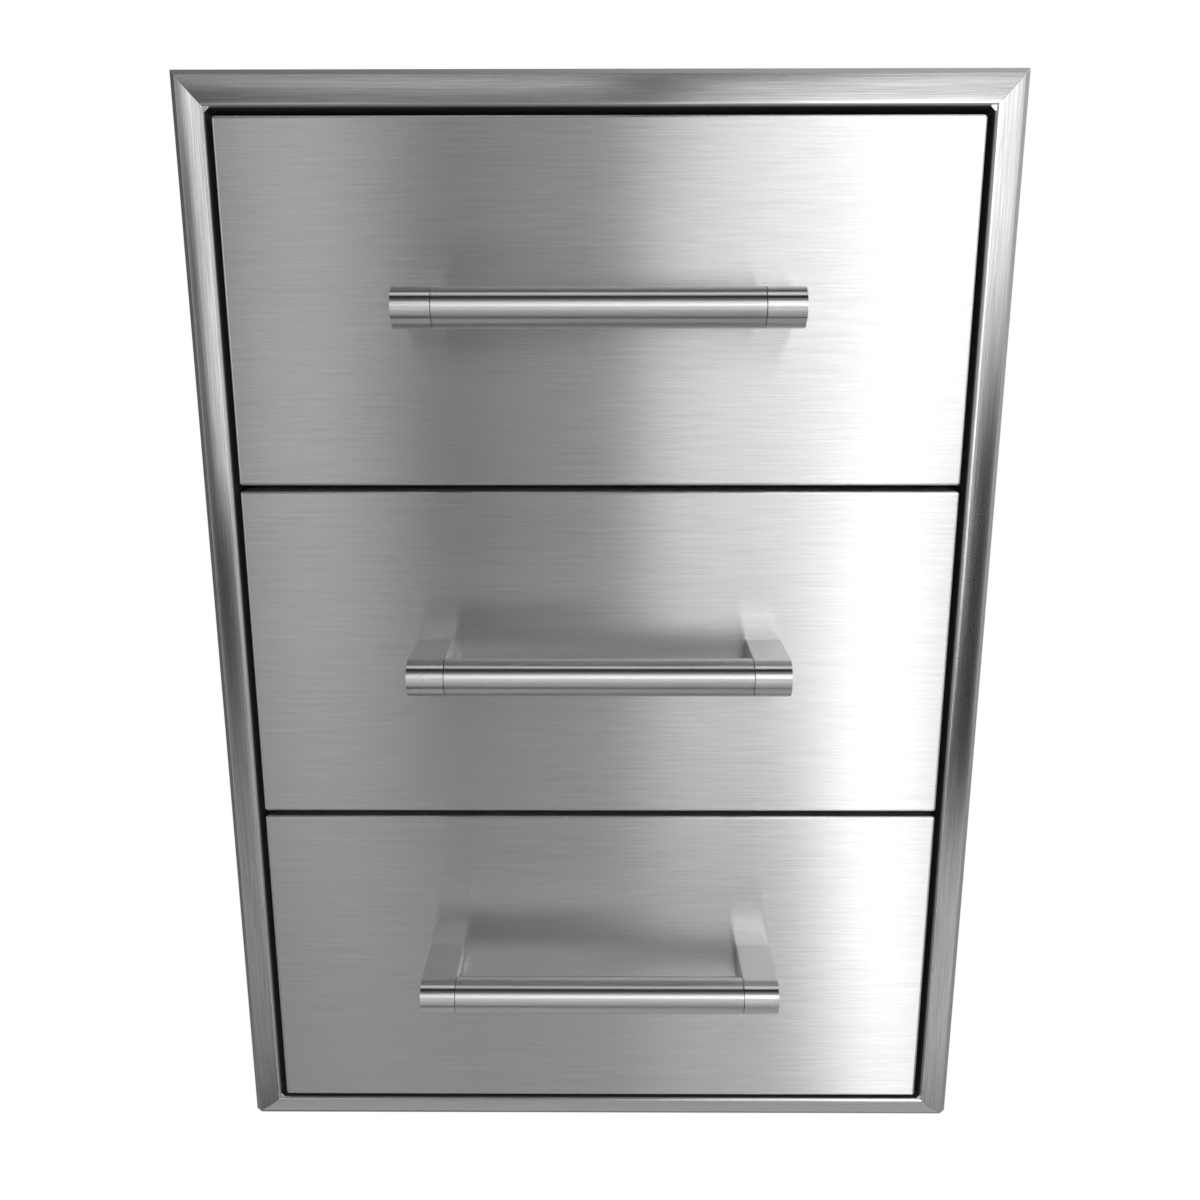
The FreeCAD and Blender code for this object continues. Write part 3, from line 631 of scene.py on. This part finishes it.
def handle_posts(row):
    """Both posts: flat sides, half-round towards the hand."""
    node = f"{row}_handle_posts"
    low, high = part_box(node)
    bar_low, bar_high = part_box(f"{row}_handle_bar")
    inner = (bar_high.x - bar_low.x) / 2 + GRIP_SEAM
    outer = (high.x - low.x) / 2
    middle = (low.x + high.x) / 2
    radius = (high.z - low.z) / 2
    for name, side in SIDES:
        left, right = sorted((middle + side * inner, middle + side * outer))
        post = block(f"{row}_{name}_post", (left, low.y, low.z), (right, high.y, high.z))
        select_edges(post, lambda a, b: max(a.y, b.y) < low.y + TINY and abs(a.z - b.z) < TINY)
        bevel_selected(radius - TINY, GRIP_SIDES // 4)
        outward(post)
        round_edges(post, GRIP_EASE, GRIP_CREASE)
        smooth(post)
        finish(post, f"{row}_drawer", "handle_steel", post_steel, node)


for row in ROWS:
    drawer_face(row)
    handle_bar(row)
    handle_posts(row)


# Folded sheets, slides, bolts and stops

BODIES = frame["record"]["behaviour"]["bodies"]
BODY_OF = {node: body for body, nodes in BODIES.items() for node in nodes}
SLOT_OF = {entry["node"]: entry["material_slot"] for entry in frame["record"]["subparts"]}

# By material slot: how a node's dressed copy is called and how far its edges are eased
DRESSING = {
    "case_steel": ("sheet", SHEET_EASE),
    "slide_steel": ("strip", SLIDE_EASE),
    "bolt_steel": ("group", BOLT_EASE),
    "stop_rubber": ("group", BOLT_EASE),
}


def solid_copy(node, name):
    """A copy of a node's mesh with its loose triangles merged into flat faces."""
    piece = bpy.data.objects.new(name, frame["nodes"][node].data.copy())
    bpy.context.scene.collection.objects.link(piece)
    piece.data.materials.clear()
    bpy.context.tool_settings.mesh_select_mode = (True, False, False)
    edit_all(piece)
    bpy.ops.mesh.remove_doubles(threshold=MERGE_WITHIN)
    bpy.ops.mesh.dissolve_limited(angle_limit=math.radians(FLAT_DEGREES), delimit=set())
    done()
    return piece


def dress(node, name, ease, material):
    """The node's own shape with its sharp edges rounded over and its curves shaded smooth."""
    piece = solid_copy(node, name)
    round_edges(piece, ease, SHEET_CREASE)
    smooth(piece)
    return finish(piece, BODY_OF[node], SLOT_OF[node], material, node)


def round_ball(ball):
    """A smooth ball in place of a faceted one."""
    corners = [vertex.co for vertex in ball.data.vertices]
    centre = sum(corners, Vector()) / len(corners)
    radius = min((corner - centre).length for corner in corners)
    bpy.data.objects.remove(ball)
    deselect()
    bpy.ops.mesh.primitive_ico_sphere_add(
        subdivisions=BALL_SUBDIVISIONS, radius=radius, location=centre)
    ball = bpy.context.active_object
    apply_place()
    edit_all(ball)
    bpy.ops.mesh.bisect(plane_co=centre, plane_no=(0, 0, 1))
    done()
    return ball


def ball_cages(node, name):
    """The cage strips of one drawer's slides, with round balls in them."""
    piece = solid_copy(node, name)
    edit_all(piece)
    bpy.ops.mesh.separate(type="LOOSE")
    done()
    parts = list(bpy.context.selected_objects)
    balls = [part for part in parts if max(part.dimensions) < min(part.dimensions) * BALL_RATIO]
    strips = [part for part in parts if part not in balls]
    for strip in strips:
        round_edges(strip, STRIP_EASE, SHEET_CREASE)
    rounds = [round_ball(ball) for ball in balls]
    deselect()
    for part in strips + rounds:
        part.select_set(True)
    bpy.context.view_layer.objects.active = strips[0]
    bpy.ops.object.join()
    cage = bpy.context.active_object
    cage.name = name
    smooth(cage, CAGE_SMOOTH_DEGREES)
    return finish(cage, BODY_OF[node], SLOT_OF[node], cage_steel, node)


for node, slot in SLOT_OF.items():
    if slot == "cage_steel":
        ball_cages(node, f"{node}_set")
    elif slot in DRESSING:
        kind, ease = DRESSING[slot]
        dress(node, f"{node}_{kind}", ease, SLOT_MATERIALS[slot])


# Studio

FLOOR_SIZE = 2.4
FLOOR_LEVEL = -1.5
FLOOR_COLOUR = (0.8, 0.8, 0.8, 1.0)
FLOOR_ROUGHNESS = 0.9
WHITE = (1, 1, 1, 1)

# Light around the object, in degrees: azimuth 0 is straight ahead of the fronts and positive is to
# the right, elevation 0 is level. Each row is a softbox with its brightness, its left and right
# edges and its lower and upper edges, and each edge is a place and how far it blurs to both sides.
# The numbers come from a scratch solver that fitted the boxes to the photograph's brightness, and
# were rounded. The floor and the two behind were then changed, and parts of eleven others: low
# left, low middle, middle, key left low, high left, near left, high right, key right, far right,
# upper right and ceiling left. The other eight rows are still the solver's.
AMBIENT = 0.03
ALL_ROUND = ((-181, 1), (181, 1))
SOFTBOXES = (
    ("floor", 0.20, ALL_ROUND, ((-91, 1), (-65, 4))),
    ("floor, front right", 0.80, ((4, 4), (36, 4)), ((-52, 3), (-40, 3))),
    ("low left", 0.32, ((-110, 5), (-40, 5)), ((-36, 3), (-20, 8))),
    ("low middle", 0.80, ((-14, 5), (3, 5)), ((-40, 6), (-24, 6))),
    ("low right", 0.60, ((35, 3), (115, 3)), ((-37, 3), (-24, 3))),
    ("middle", 0.40, ((-6, 2), (9, 1)), ((-14, 6), (38, 4))),
    ("key left", 0.95, ((-86, 4), (-29, 4)), ((-8, 3), (18, 3))),
    ("key left, low", 0.55, ((-56, 7), (-25, 5)), ((-25, 10), (3, 10))),
    ("far left", 0.65, ((-104, 8), (-70, 8)), ((7, 3), (16, 3))),
    ("high left", 1.05, ((-17, 9), (-8, 6)), ((12, 9), (36, 9))),
    ("near left", 0.80, ((-19, 2), (-11, 4)), ((-27, 8), (12, 8))),
    ("near right", 1.40, ((2, 1), (18, 1)), ((-20, 12), (9, 12))),
    ("near right, low", 2.90, ((12, 2), (17, 2)), ((-40, 2), (-13, 2))),
    ("high right", 5.00, ((9, 5), (25, 5)), ((18, 3), (34, 4))),
    ("key right", 4.90, ((16, 3), (51, 3)), ((8, 4), (18, 2))),
    ("key right, low", 3.40, ((36, 2), (51, 2)), ((-14, 8), (10, 8))),
    ("far right", 1.50, ((58, 5), (112, 15)), ((-1, 6), (16, 3))),
    ("upper right", 1.00, ((5, 2), (25, 2)), ((32, 6), (50, 6))),
    ("ceiling left", 1.25, ((-100, 5), (3, 8)), ((70, 3), (93, 3))),
    ("ceiling right", 2.00, ((14, 6), (107, 6)), ((67, 2), (79, 2))),
    ("behind, left", 1.20, ((-181, 1), (-120, 10)), ((-35, 10), (60, 10))),
    ("behind, right", 1.20, ((120, 10), (181, 1)), ((-35, 10), (60, 10))),
)


def studio_world():
    """White where the camera sees past the object, and the softboxes for its light and gloss."""
    world = bpy.data.worlds.new("studio")
    world.use_nodes = True
    tree = world.node_tree
    background = tree.nodes["Background"]
    background.inputs["Color"].default_value = WHITE
    direction = tree.nodes.new("ShaderNodeTexCoord").outputs["Generated"]
    parts = tree.nodes.new("ShaderNodeSeparateXYZ")
    link(tree, direction, parts.inputs[0])
    towards = math_node(tree, "MULTIPLY", parts.outputs["Y"], -1.0)
    azimuth = math_node(tree, "DEGREES", math_node(tree, "ARCTAN2", parts.outputs["X"], towards))
    elevation = math_node(tree, "DEGREES", math_node(tree, "ARCSINE", parts.outputs["Z"]))

    light = AMBIENT
    for _, brightness, sides, heights in SOFTBOXES:
        across = between(tree, azimuth, *sides)
        upwards = between(tree, elevation, *heights)
        shape = math_node(tree, "MULTIPLY", across, upwards)
        light = math_node(tree, "MULTIPLY_ADD", shape, brightness, light)
    seen = tree.nodes.new("ShaderNodeLightPath").outputs["Is Camera Ray"]
    unseen = math_node(tree, "SUBTRACT", 1.0, seen)
    strength = math_node(tree, "MULTIPLY_ADD", light, unseen, seen)
    link(tree, strength, background.inputs["Strength"])
    bpy.context.scene.world = world


def studio_floor():
    """A pale floor well below the unit, white where the camera sees it."""
    deselect()
    bpy.ops.mesh.primitive_plane_add(size=FLOOR_SIZE, location=(0, 0, FLOOR_LEVEL))
    floor = bpy.context.active_object
    floor.name = "floor"
    material, tree, shader = new_material("pale_floor", 0.0)
    shader.inputs["Base Color"].default_value = FLOOR_COLOUR
    shader.inputs["Roughness"].default_value = FLOOR_ROUGHNESS
    glow = shader_node(tree, "ShaderNodeEmission", Color=WHITE, Strength=1.0)
    mix = tree.nodes.new("ShaderNodeMixShader")
    link(tree, tree.nodes.new("ShaderNodeLightPath").outputs["Is Camera Ray"], mix.inputs[0])
    link(tree, shader.outputs[0], mix.inputs[1])
    link(tree, glow.outputs[0], mix.inputs[2])
    link(tree, mix.outputs[0], tree.nodes["Material Output"].inputs["Surface"])
    floor.data.materials.append(material)


def studio_camera():
    """A camera with the place, turn and focal length that were fitted to the photograph."""
    camera = bpy.data.cameras.new("camera")
    camera.sensor_width = SENSOR_MM
    camera.lens = FOCAL_PIXELS / IMAGE_PIXELS * SENSOR_MM
    camera.clip_start = CAMERA_NEAR
    holder = bpy.data.objects.new("camera", camera)
    holder.location = CAMERA_PLACE
    turns = (90 - CAMERA_PITCH, CAMERA_ROLL, CAMERA_YAW)
    holder.rotation_euler = [math.radians(turn) for turn in turns]
    bpy.context.scene.collection.objects.link(holder)
    bpy.context.scene.camera = holder


studio_world()
studio_floor()
studio_camera()
bpy.context.scene.view_settings.view_transform = "Standard"
